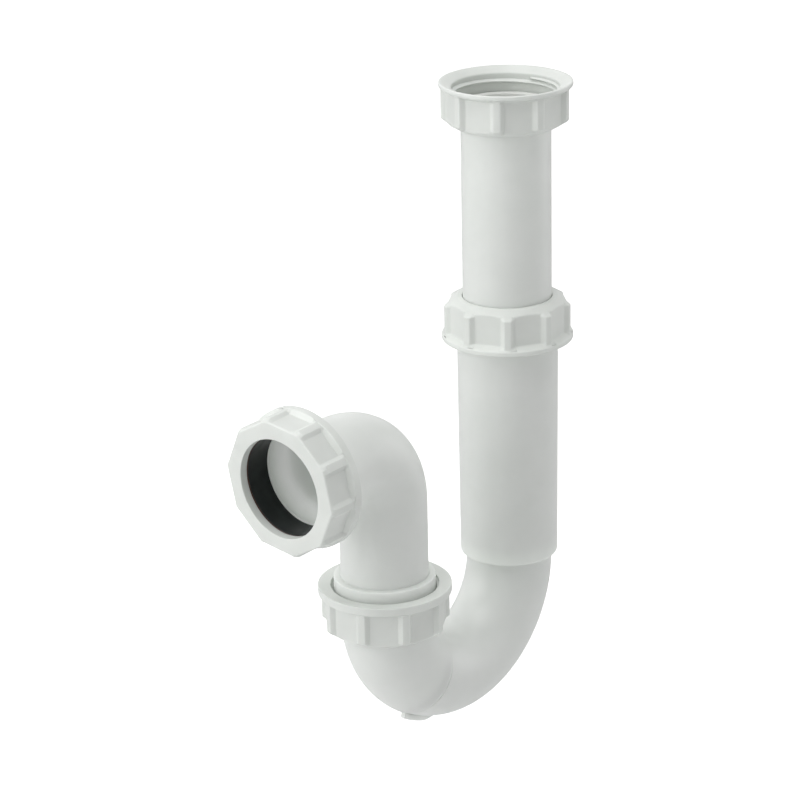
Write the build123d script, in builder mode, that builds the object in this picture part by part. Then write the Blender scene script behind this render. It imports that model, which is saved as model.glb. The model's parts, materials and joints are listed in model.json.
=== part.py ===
"""Telescopic p-trap for a 1 1/2 inch threaded waste and a 43 mm waste pipe.

Millimetres, +Z up. The origin is the middle of the inlet's sealing face, on the inlet axis.
The U-bend lies in the XZ plane, with the outlet leg on the -X side.
"""
from build123d import *
from math import cos, radians, sin, sqrt, tan
import os

# Threads, drawn as plain cylinders: the crest of the male thread in the root of the female one
THREAD_ROOT_RADIUS = 23.9  # inlet, slide and swivel nuts
THREAD_MINOR_RADIUS = 22.4  # what passes through the female thread is smaller
OUTLET_THREAD_ROOT_RADIUS = 26.2
THREAD_CLEARANCE = 0.06
SEAT_GAP = 0.05  # between a nut's floor and what it presses on
RING_GAP = 0.15  # between a rubber ring's cone and its seat

# Ribbed nuts: one pattern for the inlet, slide and swivel nuts
NUT_RIBS = 9
NUT_FLANGE_RADIUS = 29.6
NUT_RIB_RADIUS = 28.2
NUT_WALL_RADIUS = 25.8  # out to the middle of the flat panels between the ribs
NUT_RING_RADIUS = 22.6  # of the flat ring round the hole, inside the conical end
NUT_RIM_WIDTH = 1.0  # of the flange's flat rim, outside its dished face
NUT_EDGE = 0.4  # chamfer round a flange
NUT_MOUTH_DEPTH = 1.0  # from the rim down to the first turn of the thread
NUT_LEAD_IN = 0.3  # chamfer at the first turn
NUT_THREAD_LENGTH = 9.6
SWIVEL_NUT_THREAD_LENGTH = 11.3
NUT_SEAT_RADIUS = 23.5  # plain recess between the thread and the floor
NUT_SEAT_DEPTH = 4.85
NUT_FLOOR = 4.45  # thickness at the hole
NUT_CROWN_DROP = 1.9  # fall of the conical end, from the ring out to the panels
NUT_BEVEL_DROP = 2.0  # further fall over the ends of the ribs
NUT_HOLE_GAP = 0.6  # round the tube that passes through
FLANGE_SLOPE = 1.6  # rise of the flange's sloping back
RIB_FACE = 3.1
RIB_FOOT = 6.7
CORE_DEPTH = 0.5  # of the flange's foot inside the flat panels

INLET_NUT_FLANGE = 2.0
SLIDE_NUT_FLANGE = 2.3
SWIVEL_NUT_FLANGE = 3.7
INLET_NUT_TURN = -11.3  # degrees to the first rib
SLIDE_NUT_TURN = 19.6
SWIVEL_NUT_TURN = 0.0

# Outlet nut: larger, with a flat face round the pipe's hole
OUTLET_NUT_RIBS = 10
OUTLET_NUT_TURN = 29.0
OUTLET_NUT_FLANGE_RADIUS = 31.3
OUTLET_NUT_RIB_RADIUS = 30.2
OUTLET_NUT_WALL_RADIUS = 28.0
OUTLET_NUT_RING_RADIUS = 27.4
OUTLET_NUT_THREAD_LENGTH = 7.6
OUTLET_NUT_SEAT_RADIUS = 25.8
OUTLET_NUT_SEAT_DEPTH = 4.85
OUTLET_NUT_FLOOR = 3.95
OUTLET_NUT_FLANGE = 3.6
OUTLET_NUT_CROWN_DROP = 0.4
OUTLET_NUT_BEVEL_DROP = 1.6

# Telescopic inlet tube
TUBE_RADIUS = 20.0
TUBE_WALL = 2.0
TUBE_LENGTH = 148.0
TUBE_FLANGE_THICKNESS = 2.8
TUBE_CHAMFER = 0.8  # outside, at the lower end
FLANGE_CLEARANCE = 0.1  # between a flange and the thread that it passes through
FLANGE_ROUND = 0.4
INLET_WASHER_THICKNESS = 2.0
WASHER_CLEARANCE = 0.2  # between a washer and the thread that it passes through
WASHER_BORE_GAP = 0.5  # by which a washer's hole is wider than the bore under it

# Inlet leg
SLIDE_JOINT_DROP = 91.95  # from the inlet face down to the slide nut's floor
SLIDE_WASHER_THICKNESS = 1.0
SLIDE_WASHER_GAP = 0.2  # round the telescopic tube
SEAL_CLEARANCE = 0.05  # round the telescopic tube
SEAL_TIP = 0.55  # thickness of the seal's lower end
LEG_BORE_GAP = 0.4  # between the tube and the leg's bore
LEG_MOUTH_RADIUS = 22.5
LEG_MOUTH_DEPTH = 4.2
LEG_THREAD_LENGTH = 8.5
LEG_TOP_RADIUS = 22.8
LEG_FOOT_RADIUS = 22.3
LEG_SHOULDER_DROP = 211.0  # from the inlet face down to the step into the bend
LEG_SHOULDER_ROUND = 1.4
LEG_INNER_STEP = 4.0  # above the shoulder, where the bore narrows to the bend's

# U-bend
BEND_DROP = 212.4  # from the inlet face down to the bend's centre
LEG_PITCH = 86.4
BEND_TUBE_RADIUS = 19.6
BEND_WALL = 2.2
OUTLET_BEND_TUBE_RADIUS = 20.1
INLET_BEND_ANGLE = 124.0  # turn of the first moulding, up to the seam
SEAM_LAP_ANGLE = 6.0
SEAM_SPIGOT_WALL = 1.3
SEAM_GAP = 0.05
SEAM_ROUND = 0.4
LIP_ANGLE = 17.0  # the lip under the seam starts this far before it
LIP_SECTION_RADIUS = 12.0
BEND_FLANGE_THICKNESS = 3.1
SWIVEL_WASHER_THICKNESS = 2.0

# Outlet elbow
ELBOW_TUBE_RADIUS = 19.45
ELBOW_WALL = 2.0
ELBOW_BEND_RADIUS = 26.5
ELBOW_DROP = 131.5  # from the inlet face down to where its two axes meet
OUTLET_FALL = 2.5  # degrees below level
SPIGOT_BORE_RADIUS = 20.4
SPIGOT_THREAD_LENGTH = 9.0
COLLAR_RADIUS = 22.5
COLLAR_HEIGHT = 16.2  # top of the collar above the spigot's end
COLLAR_ROUND = 0.6
COLLAR_CONE = 3.0  # inside the collar, between the two bores

# Outlet socket, measured along the outlet axis from where the two axes meet
OUTLET_REACH = 65.0  # to the face of the outlet nut
SOCKET_DEPTH = 8.0  # of the seal's seat
SOCKET_MOUTH_RADIUS = 24.6
SOCKET_SEAT_RADIUS = 22.9
SOCKET_BACK_RADIUS = 24.6
SOCKET_BACK_LENGTH = 4.3
SOCKET_CONE = 4.0  # outside, from the elbow's tube out to the socket
SOCKET_ROUND = 1.0
OUTLET_THREAD_LENGTH = 7.4
PIPE_DEPTH = 19.0  # from the nut's face to the funnel that stops the pipe
FUNNEL_ROUND = 2.5
PIPE_RADIUS = 21.5
PIPE_HOLE_GAP = 0.6
PIPE_SEAL_GAP = 0.4
PIPE_SOCKET_GAP = 0.25
SEAL_END_GAP = 0.3
OUTLET_WASHER_THICKNESS = 0.8
OUTLET_WASHER_CLEARANCE = 0.3

# Places worked out from the sizes above
male_radius = THREAD_ROOT_RADIUS - THREAD_CLEARANCE
outlet_male_radius = OUTLET_THREAD_ROOT_RADIUS - THREAD_CLEARANCE
flange_radius = THREAD_MINOR_RADIUS - FLANGE_CLEARANCE
washer_radius = THREAD_MINOR_RADIUS - WASHER_CLEARANCE
tube_bore_radius = TUBE_RADIUS - TUBE_WALL
leg_bore_radius = TUBE_RADIUS + LEG_BORE_GAP
bend_bore_radius = BEND_TUBE_RADIUS - BEND_WALL
elbow_bore_radius = ELBOW_TUBE_RADIUS - ELBOW_WALL
seam_spigot_radius = bend_bore_radius + SEAM_SPIGOT_WALL
bend_radius = LEG_PITCH / 2

tube_top = -INLET_WASHER_THICKNESS
tube_flange_foot = tube_top - TUBE_FLANGE_THICKNESS
inlet_nut_floor = tube_flange_foot - SEAT_GAP
slide_nut_floor = -SLIDE_JOINT_DROP
slide_washer_top = slide_nut_floor - SEAT_GAP
slide_seal_top = slide_washer_top - SLIDE_WASHER_THICKNESS
leg_top = slide_nut_floor - NUT_SEAT_DEPTH
leg_thread_foot = leg_top - LEG_THREAD_LENGTH
shoulder_z = -LEG_SHOULDER_DROP
bend_z = -BEND_DROP
bend_flange_foot = bend_z - BEND_FLANGE_THICKNESS
swivel_nut_floor = bend_flange_foot - SEAT_GAP
spigot_foot = bend_z + SWIVEL_WASHER_THICKNESS
spigot_thread_top = spigot_foot + SPIGOT_THREAD_LENGTH
collar_top = spigot_foot + COLLAR_HEIGHT
elbow_z = -ELBOW_DROP
elbow_turn = 90 + OUTLET_FALL
elbow_tangent = ELBOW_BEND_RADIUS * tan(radians(elbow_turn / 2))
elbow_start_z = elbow_z - elbow_tangent

outlet_nut_floor = OUTLET_REACH - OUTLET_NUT_FLOOR
outlet_washer_face = outlet_nut_floor - SEAT_GAP
outlet_seal_face = outlet_washer_face - OUTLET_WASHER_THICKNESS
socket_mouth = outlet_nut_floor - OUTLET_NUT_SEAT_DEPTH - SEAT_GAP
socket_seat = socket_mouth - SOCKET_DEPTH
pipe_stop = OUTLET_REACH - PIPE_DEPTH
pipe_bore_radius = PIPE_RADIUS + PIPE_SOCKET_GAP
seal_bore_radius = PIPE_RADIUS + PIPE_SEAL_GAP
socket_thread_back = socket_mouth - OUTLET_THREAD_LENGTH
socket_back = socket_thread_back - SOCKET_BACK_LENGTH
socket_cone_foot = socket_back - SOCKET_CONE

# Each of these planes lies across an axis: heights are measured along its normal
inlet_up = Plane.XY
inlet_down = Plane(origin=(0, 0, 0), x_dir=(1, 0, 0), z_dir=(0, 0, -1))
outlet_leg_up = Plane(origin=(-LEG_PITCH, 0, 0), x_dir=(1, 0, 0), z_dir=(0, 0, 1))
outlet_leg_down = Plane(origin=(-LEG_PITCH, 0, 0), x_dir=(1, 0, 0), z_dir=(0, 0, -1))
outlet_way = (-cos(radians(OUTLET_FALL)), 0, -sin(radians(OUTLET_FALL)))
outlet_plane = Plane(origin=(-LEG_PITCH, 0, elbow_z), x_dir=(0, 1, 0), z_dir=outlet_way)
bend_axis = Axis((-bend_radius, 0, bend_z), (0, 1, 0))
elbow_axis = Axis((-LEG_PITCH - ELBOW_BEND_RADIUS, 0, elbow_start_z), (0, -1, 0))

os.makedirs("parts", exist_ok=True)


def turn(across, points, rounds=(), mode=Mode.ADD):
    """Turns an outline of (radius, height) points about a plane's axis, with some corners rounded."""
    half = Plane(origin=across.origin, x_dir=across.x_dir, z_dir=-across.y_dir)
    with BuildSketch(half) as outline:
        with BuildLine():
            Polyline(*points, close=True)
        make_face()
        for corner, radius in rounds:
            fillet(outline.vertices().sort_by_distance(corner)[0], radius)
    revolve(outline.sketch, axis=Axis(across.origin, across.z_dir), mode=mode)


def bend_section(angle):
    """The plane across the U-bend's tube, this many degrees from the inlet leg."""
    along = radians(angle)
    outwards = Vector(cos(along), 0, -sin(along))
    centre = Vector(-bend_radius, 0, bend_z) + bend_radius * outwards
    return Plane(origin=centre, x_dir=outwards, z_dir=(-sin(along), 0, -cos(along)))


def bend_reach(height):
    """How far the outlet bend's tube reaches from the outlet leg's axis, at a height below its top."""
    return bend_radius - sqrt((bend_radius - OUTLET_BEND_TUBE_RADIUS) ** 2 - (bend_z - height) ** 2)


def ribbed_nut(across, inside, flange, end_outline, rib_count, first_rib):
    """A moulded nut: a prism with a flat panel between two ribs, on a turned flange, bored through.

    The end outline runs from the ribs' face over the panels' middle to the ring round the hole.
    """
    rib_radius = end_outline[0][0]
    wall_radius = end_outline[1][0]
    foot = (flange[0][1] + flange[-2][1]) / 2
    end = end_outline[-1][1]
    half_pitch = radians(180 / rib_count)
    corner = wall_radius / cos(half_pitch)
    foot_x = corner - RIB_FOOT / 2 * tan(half_pitch)
    turns = [radians(first_rib) + 2 * half_pitch * rib for rib in range(rib_count)]
    with BuildPart() as nut:
        with BuildSketch(across.offset(foot)):
            Polygon(*[(corner * cos(turned), corner * sin(turned)) for turned in turns], align=None)
            with PolarLocations(0, rib_count, start_angle=first_rib):
                Polygon(
                    (0, 0),
                    (foot_x, -RIB_FOOT / 2),
                    (rib_radius, -RIB_FACE / 2),
                    (rib_radius, RIB_FACE / 2),
                    (foot_x, RIB_FOOT / 2),
                    align=None,
                )
        extrude(amount=end - foot)
        turn(across, [(0, foot), (rib_radius, foot), *end_outline, (0, end)], mode=Mode.INTERSECT)
        turn(across, [(0, flange[0][1]), *flange, (0, flange[-1][1])])
        turn(across, [(0, inside[0][1]), *inside, (0, inside[-1][1])], mode=Mode.SUBTRACT)
    return nut


def nut_flange(radius, wall_radius, mouth, thickness):
    """The outline of a nut's flange, from its flat rim to the foot of its sloping back."""
    return [
        (radius - NUT_EDGE, mouth),
        (radius, mouth + NUT_EDGE),
        (radius, mouth + thickness),
        (wall_radius - CORE_DEPTH, mouth + thickness + FLANGE_SLOPE),
    ]


def waste_nut(across, floor, holes, thread_length, flange, first_rib):
    """An inlet, slide or swivel nut, placed by the height of its floor along its axis.

    The two hole radii are those at the floor and at the outer end.
    """
    floor_hole, end_hole = holes
    thread_end = floor - NUT_SEAT_DEPTH
    thread_start = thread_end - thread_length
    mouth = thread_start - NUT_MOUTH_DEPTH
    end = floor + NUT_FLOOR
    wall_end = end - NUT_CROWN_DROP
    rib_end = wall_end - NUT_BEVEL_DROP
    inside = [
        (end_hole, end),
        (floor_hole, floor),
        (NUT_SEAT_RADIUS, floor),
        (NUT_SEAT_RADIUS, thread_end),
        (THREAD_ROOT_RADIUS, thread_end),
        (THREAD_ROOT_RADIUS, thread_start),
        (THREAD_ROOT_RADIUS + NUT_LEAD_IN, thread_start - NUT_LEAD_IN),
        (NUT_FLANGE_RADIUS - NUT_RIM_WIDTH, mouth),
    ]
    end_outline = [(NUT_RIB_RADIUS, rib_end), (NUT_WALL_RADIUS, wall_end), (NUT_RING_RADIUS, end)]
    flange_outline = nut_flange(NUT_FLANGE_RADIUS, NUT_WALL_RADIUS, mouth, flange)
    return ribbed_nut(across, inside, flange_outline, end_outline, NUT_RIBS, first_rib)


# Inlet: the tube hangs by its flange in the nut, with a flat washer on top
tube_hole_radius = TUBE_RADIUS + NUT_HOLE_GAP
inlet_nut = waste_nut(
    inlet_down,
    -inlet_nut_floor,
    (tube_hole_radius, tube_hole_radius),
    NUT_THREAD_LENGTH,
    INLET_NUT_FLANGE,
    INLET_NUT_TURN,
)
inlet_nut.part.label = "inlet_nut"
export_step(inlet_nut.part, "parts/inlet_nut.step")

with BuildPart() as inlet_washer:
    inner = tube_bore_radius + WASHER_BORE_GAP
    turn(inlet_up, [(inner, tube_top), (washer_radius, tube_top), (washer_radius, 0), (inner, 0)])
inlet_washer.part.label = "inlet_washer"
export_step(inlet_washer.part, "parts/inlet_washer.step")

with BuildPart() as inlet_tube:
    tube_foot = tube_top - TUBE_LENGTH
    turn(
        inlet_up,
        [
            (tube_bore_radius, tube_top),
            (flange_radius, tube_top),
            (flange_radius, tube_flange_foot),
            (TUBE_RADIUS, tube_flange_foot),
            (TUBE_RADIUS, tube_foot + TUBE_CHAMFER),
            (TUBE_RADIUS - TUBE_CHAMFER, tube_foot),
            (tube_bore_radius, tube_foot),
        ],
        rounds=[((flange_radius, tube_top), FLANGE_ROUND), ((flange_radius, tube_flange_foot), FLANGE_ROUND)],
    )
inlet_tube.part.label = "inlet_tube"
export_step(inlet_tube.part, "parts/inlet_tube.step")

# Slide joint: the nut squeezes a tapered ring between the tube and the mouth of the leg
slide_nut = waste_nut(
    inlet_up,
    slide_nut_floor,
    (tube_hole_radius, tube_hole_radius),
    NUT_THREAD_LENGTH,
    SLIDE_NUT_FLANGE,
    SLIDE_NUT_TURN,
)
slide_nut.part.label = "slide_nut"
export_step(slide_nut.part, "parts/slide_nut.step")

with BuildPart() as slide_washer:
    inner = TUBE_RADIUS + SLIDE_WASHER_GAP
    turn(
        inlet_up,
        [
            (inner, slide_seal_top),
            (washer_radius, slide_seal_top),
            (washer_radius, slide_washer_top),
            (inner, slide_washer_top),
        ],
    )
slide_washer.part.label = "slide_washer"
export_step(slide_washer.part, "parts/slide_washer.step")

with BuildPart() as slide_seal:
    inner = TUBE_RADIUS + SEAL_CLEARANCE
    mouth_slope = LEG_MOUTH_DEPTH / (LEG_MOUTH_RADIUS - leg_bore_radius)
    cone_top = leg_top - (LEG_MOUTH_RADIUS - RING_GAP - washer_radius) * mouth_slope
    seal_foot = leg_top - (LEG_MOUTH_RADIUS - RING_GAP - inner - SEAL_TIP) * mouth_slope
    turn(
        inlet_up,
        [
            (inner, slide_seal_top),
            (washer_radius, slide_seal_top),
            (washer_radius, cone_top),
            (inner + SEAL_TIP, seal_foot),
            (inner, seal_foot),
        ],
    )
slide_seal.part.label = "slide_seal"
export_step(slide_seal.part, "parts/slide_seal.step")

# Trap: the leg, its step and the first bend are one moulding, welded to the second bend
with BuildPart() as lip:
    with BuildSketch(bend_section(INLET_BEND_ANGLE - LIP_ANGLE)):
        with Locations((BEND_TUBE_RADIUS - LIP_SECTION_RADIUS, 0)):
            Circle(LIP_SECTION_RADIUS)
    extrude(amount=bend_radius)
    split(bisect_by=bend_section(INLET_BEND_ANGLE), keep=Keep.BOTTOM)

with BuildPart() as inlet_leg:
    inner_step = shoulder_z + LEG_INNER_STEP
    turn(
        inlet_up,
        [
            (LEG_MOUTH_RADIUS, leg_top),
            (male_radius, leg_top),
            (male_radius, leg_thread_foot),
            (LEG_TOP_RADIUS, leg_thread_foot),
            (LEG_FOOT_RADIUS, shoulder_z),
            (BEND_TUBE_RADIUS, shoulder_z),
            (BEND_TUBE_RADIUS, bend_z),
            (bend_bore_radius, bend_z),
            (bend_bore_radius, inner_step),
            (leg_bore_radius, inner_step + leg_bore_radius - bend_bore_radius),
            (leg_bore_radius, leg_top - LEG_MOUTH_DEPTH),
        ],
        rounds=[((LEG_FOOT_RADIUS, shoulder_z), LEG_SHOULDER_ROUND)],
    )
    with BuildSketch(bend_section(0)):
        Circle(BEND_TUBE_RADIUS)
    revolve(axis=bend_axis, revolution_arc=INLET_BEND_ANGLE)
    add(lip.part)
    with BuildSketch(bend_section(INLET_BEND_ANGLE)):
        Circle(seam_spigot_radius)
    revolve(axis=bend_axis, revolution_arc=SEAM_LAP_ANGLE)
    with BuildSketch(bend_section(0)):
        Circle(bend_bore_radius)
    revolve(axis=bend_axis, revolution_arc=INLET_BEND_ANGLE + SEAM_LAP_ANGLE, mode=Mode.SUBTRACT)
inlet_leg.part.label = "inlet_leg"
export_step(inlet_leg.part, "parts/inlet_leg.step")

with BuildPart() as outlet_bend:
    with BuildSketch(bend_section(INLET_BEND_ANGLE)):
        Circle(OUTLET_BEND_TUBE_RADIUS)
    revolve(axis=bend_axis, revolution_arc=180 - INLET_BEND_ANGLE)
    seam_face = outlet_bend.faces().sort_by_distance(bend_section(INLET_BEND_ANGLE).origin)[0]
    fillet(seam_face.edges(), SEAM_ROUND)
    turn(
        outlet_leg_up,
        [(0, bend_flange_foot), (flange_radius, bend_flange_foot), (flange_radius, bend_z), (0, bend_z)],
        rounds=[((flange_radius, bend_z), FLANGE_ROUND), ((flange_radius, bend_flange_foot), FLANGE_ROUND)],
    )
    with BuildSketch(bend_section(INLET_BEND_ANGLE)):
        Circle(bend_bore_radius)
    revolve(axis=bend_axis, revolution_arc=180 - INLET_BEND_ANGLE, mode=Mode.SUBTRACT)
    with BuildSketch(bend_section(INLET_BEND_ANGLE)):
        Circle(seam_spigot_radius + SEAM_GAP)
    revolve(axis=bend_axis, revolution_arc=SEAM_LAP_ANGLE, mode=Mode.SUBTRACT)
outlet_bend.part.label = "outlet_bend"
export_step(outlet_bend.part, "parts/outlet_bend.step")

# Swivel joint: the nut hangs under the bend's flange and pulls the elbow's end down on a washer
swivel_nut = waste_nut(
    outlet_leg_down,
    -swivel_nut_floor,
    (
        bend_reach(swivel_nut_floor) + NUT_HOLE_GAP,
        bend_reach(swivel_nut_floor - NUT_FLOOR) + NUT_HOLE_GAP,
    ),
    SWIVEL_NUT_THREAD_LENGTH,
    SWIVEL_NUT_FLANGE,
    SWIVEL_NUT_TURN,
)
swivel_nut.part.label = "swivel_nut"
export_step(swivel_nut.part, "parts/swivel_nut.step")

with BuildPart() as swivel_washer:
    inner = bend_bore_radius + WASHER_BORE_GAP
    turn(
        outlet_leg_up,
        [(inner, bend_z), (washer_radius, bend_z), (washer_radius, spigot_foot), (inner, spigot_foot)],
    )
swivel_washer.part.label = "swivel_washer"
export_step(swivel_washer.part, "parts/swivel_washer.step")

with BuildPart() as outlet_elbow:
    cone_top = collar_top
    cone_foot = cone_top - COLLAR_CONE
    turn(
        outlet_leg_up,
        [
            (SPIGOT_BORE_RADIUS, spigot_foot),
            (male_radius, spigot_foot),
            (male_radius, spigot_thread_top),
            (COLLAR_RADIUS, spigot_thread_top),
            (COLLAR_RADIUS, collar_top),
            (ELBOW_TUBE_RADIUS, collar_top),
            (ELBOW_TUBE_RADIUS, elbow_start_z),
            (elbow_bore_radius, elbow_start_z),
            (elbow_bore_radius, cone_top),
            (SPIGOT_BORE_RADIUS, cone_foot),
        ],
        rounds=[((COLLAR_RADIUS, collar_top), COLLAR_ROUND)],
    )
    with BuildSketch(outlet_leg_up.offset(elbow_start_z)):
        Circle(ELBOW_TUBE_RADIUS)
        Circle(elbow_bore_radius, mode=Mode.SUBTRACT)
    revolve(axis=elbow_axis, revolution_arc=elbow_turn)
    turn(
        outlet_plane,
        [
            (elbow_bore_radius, elbow_tangent),
            (ELBOW_TUBE_RADIUS, elbow_tangent),
            (ELBOW_TUBE_RADIUS, socket_cone_foot),
            (SOCKET_BACK_RADIUS, socket_back),
            (SOCKET_BACK_RADIUS, socket_thread_back),
            (outlet_male_radius, socket_thread_back),
            (outlet_male_radius, socket_mouth),
            (SOCKET_MOUTH_RADIUS, socket_mouth),
            (SOCKET_SEAT_RADIUS, socket_seat),
            (pipe_bore_radius, socket_seat),
            (pipe_bore_radius, pipe_stop),
            (elbow_bore_radius, socket_cone_foot),
        ],
        rounds=[
            ((ELBOW_TUBE_RADIUS, socket_cone_foot), SOCKET_ROUND),
            ((SOCKET_BACK_RADIUS, socket_back), SOCKET_ROUND),
            ((pipe_bore_radius, pipe_stop), FUNNEL_ROUND),
            ((elbow_bore_radius, socket_cone_foot), FUNNEL_ROUND),
        ],
    )
outlet_elbow.part.label = "outlet_elbow"
export_step(outlet_elbow.part, "parts/outlet_elbow.step")

# Outlet: a wide rubber ring and a thin slip ring, pressed on the pipe by the outlet nut
with BuildPart() as outlet_seal:
    seal_foot = socket_seat + SEAL_END_GAP
    turn(
        outlet_plane,
        [
            (seal_bore_radius, seal_foot),
            (SOCKET_SEAT_RADIUS - RING_GAP, seal_foot),
            (SOCKET_MOUTH_RADIUS - RING_GAP, socket_mouth),
            (SOCKET_MOUTH_RADIUS - RING_GAP, outlet_seal_face),
            (seal_bore_radius, outlet_seal_face),
        ],
    )
outlet_seal.part.label = "outlet_seal"
export_step(outlet_seal.part, "parts/outlet_seal.step")

pipe_hole_radius = PIPE_RADIUS + PIPE_HOLE_GAP
with BuildPart() as outlet_washer:
    outer = OUTLET_NUT_SEAT_RADIUS - OUTLET_WASHER_CLEARANCE
    turn(
        outlet_plane,
        [
            (pipe_hole_radius, outlet_seal_face),
            (outer, outlet_seal_face),
            (outer, outlet_washer_face),
            (pipe_hole_radius, outlet_washer_face),
        ],
    )
outlet_washer.part.label = "outlet_washer"
export_step(outlet_washer.part, "parts/outlet_washer.step")

outlet_thread_end = outlet_nut_floor - OUTLET_NUT_SEAT_DEPTH
outlet_thread_start = outlet_thread_end - OUTLET_NUT_THREAD_LENGTH
outlet_nut_mouth = outlet_thread_start - NUT_MOUTH_DEPTH
outlet_wall_end = OUTLET_REACH - OUTLET_NUT_CROWN_DROP
outlet_nut = ribbed_nut(
    outlet_plane,
    [
        (pipe_hole_radius, OUTLET_REACH),
        (pipe_hole_radius, outlet_nut_floor),
        (OUTLET_NUT_SEAT_RADIUS, outlet_nut_floor),
        (OUTLET_NUT_SEAT_RADIUS, outlet_thread_end),
        (OUTLET_THREAD_ROOT_RADIUS, outlet_thread_end),
        (OUTLET_THREAD_ROOT_RADIUS, outlet_thread_start),
        (OUTLET_THREAD_ROOT_RADIUS + NUT_LEAD_IN, outlet_thread_start - NUT_LEAD_IN),
        (OUTLET_NUT_FLANGE_RADIUS - NUT_RIM_WIDTH, outlet_nut_mouth),
    ],
    nut_flange(OUTLET_NUT_FLANGE_RADIUS, OUTLET_NUT_WALL_RADIUS, outlet_nut_mouth, OUTLET_NUT_FLANGE),
    [
        (OUTLET_NUT_RIB_RADIUS, outlet_wall_end - OUTLET_NUT_BEVEL_DROP),
        (OUTLET_NUT_WALL_RADIUS, outlet_wall_end),
        (OUTLET_NUT_RING_RADIUS, OUTLET_REACH),
    ],
    OUTLET_NUT_RIBS,
    OUTLET_NUT_TURN,
)
outlet_nut.part.label = "outlet_nut"
export_step(outlet_nut.part, "parts/outlet_nut.step")
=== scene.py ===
import math

import bmesh
import bpy
from mathutils import Matrix, Vector
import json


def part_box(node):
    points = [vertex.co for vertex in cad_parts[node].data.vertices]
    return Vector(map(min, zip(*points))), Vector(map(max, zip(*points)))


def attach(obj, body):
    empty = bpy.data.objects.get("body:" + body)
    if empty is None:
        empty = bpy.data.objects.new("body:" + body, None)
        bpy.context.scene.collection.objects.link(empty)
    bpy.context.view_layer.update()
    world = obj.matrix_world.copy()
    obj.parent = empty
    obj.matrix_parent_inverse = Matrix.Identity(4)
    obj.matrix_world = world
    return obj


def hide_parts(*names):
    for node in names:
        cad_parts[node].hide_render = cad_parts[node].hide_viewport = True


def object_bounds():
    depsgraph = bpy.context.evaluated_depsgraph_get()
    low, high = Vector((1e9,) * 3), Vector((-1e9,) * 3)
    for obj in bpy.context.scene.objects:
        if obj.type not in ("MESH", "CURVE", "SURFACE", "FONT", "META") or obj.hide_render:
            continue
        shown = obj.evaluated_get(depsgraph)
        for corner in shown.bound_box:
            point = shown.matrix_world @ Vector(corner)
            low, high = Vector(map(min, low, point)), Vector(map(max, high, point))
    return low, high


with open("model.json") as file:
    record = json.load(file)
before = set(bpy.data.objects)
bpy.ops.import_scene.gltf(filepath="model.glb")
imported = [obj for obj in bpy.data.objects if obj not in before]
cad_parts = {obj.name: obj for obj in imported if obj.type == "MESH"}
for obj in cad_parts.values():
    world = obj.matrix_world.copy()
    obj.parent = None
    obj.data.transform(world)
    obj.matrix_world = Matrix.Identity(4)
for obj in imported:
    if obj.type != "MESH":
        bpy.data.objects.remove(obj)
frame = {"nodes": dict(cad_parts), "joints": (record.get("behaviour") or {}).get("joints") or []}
cad_low, cad_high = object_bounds()

# Telescopic inlet tube: a straight injection moulded polypropylene tube. It hangs by its top
# flange in the inlet nut, and its lower end slides inside the leg of the trap.
MM = 0.001
TOLERANCE = 0.01 * MM
UP = Vector((0, 0, 1))
TURNED_STEPS = 144
WELD_DISTANCE = 0.0001 * MM
SHARP_ANGLE = math.radians(25)
EDGE_SEGMENTS = 3
CLOUD_DETAIL = 3
CLOUD_RANGE = (0.35, 0.68)
GRAIN_DETAIL = 4
GRAIN_HEIGHT = 0.12
GLOSS_RANGE = (0.3, 0.42)
PLASTIC_IOR = 1.49
PLASTIC_SHINE = 0.45
PLASTIC_GRAIN_SIZE = 900
PLASTIC_WAVE_DEPTH = 0.2 * MM
TUBE_RADIUS = 20.0 * MM
TUBE_WALL = 2.0 * MM
TUBE_FLANGE_THICKNESS = 2.8 * MM
TUBE_CHAMFER = 0.8 * MM
TUBE_EDGE = 0.3 * MM
tube_low, tube_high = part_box("inlet_tube")


def spun(shape, geom, angle, steps, centre=(0, 0, 0), axis=UP, rise=0, whole=False):
    """Spins points and edges into faces, and returns what its last step made."""
    return bmesh.ops.spin(
        shape,
        geom=geom,
        cent=centre,
        axis=axis,
        dvec=(0, 0, rise),
        angle=angle,
        steps=steps,
        use_merge=whole,
        use_normal_flip=False,
        use_duplicate=False,
    )["geom_last"]


def turned(outline, steps=TURNED_STEPS):
    """A closed ring spun about Z from (radius, height) points."""
    shape = bmesh.new()
    corners = [shape.verts.new((radius, 0, height)) for radius, height in outline]
    for corner, following in zip(corners, corners[1:] + corners[:1]):
        shape.edges.new((corner, following))
    spun(shape, shape.verts[:] + shape.edges[:], math.tau, steps, whole=True)
    bmesh.ops.remove_doubles(shape, verts=shape.verts, dist=WELD_DISTANCE)
    return shape


def moulding(name, shape, edge_radius, material):
    """Makes a finished object of a bmesh, with its sharp edges softened as a mould leaves them."""
    bmesh.ops.recalc_face_normals(shape, faces=shape.faces)
    mesh = bpy.data.meshes.new(name)
    shape.to_mesh(mesh)
    shape.free()
    mesh.shade_smooth()
    mesh.materials.append(material)
    piece = bpy.data.objects.new(name, mesh)
    bpy.context.scene.collection.objects.link(piece)
    soften = piece.modifiers.new("soft edges", "BEVEL")
    soften.width = edge_radius
    soften.segments = EDGE_SEGMENTS
    soften.limit_method = "ANGLE"
    soften.angle_limit = SHARP_ANGLE
    soften.harden_normals = True
    return piece


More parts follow.
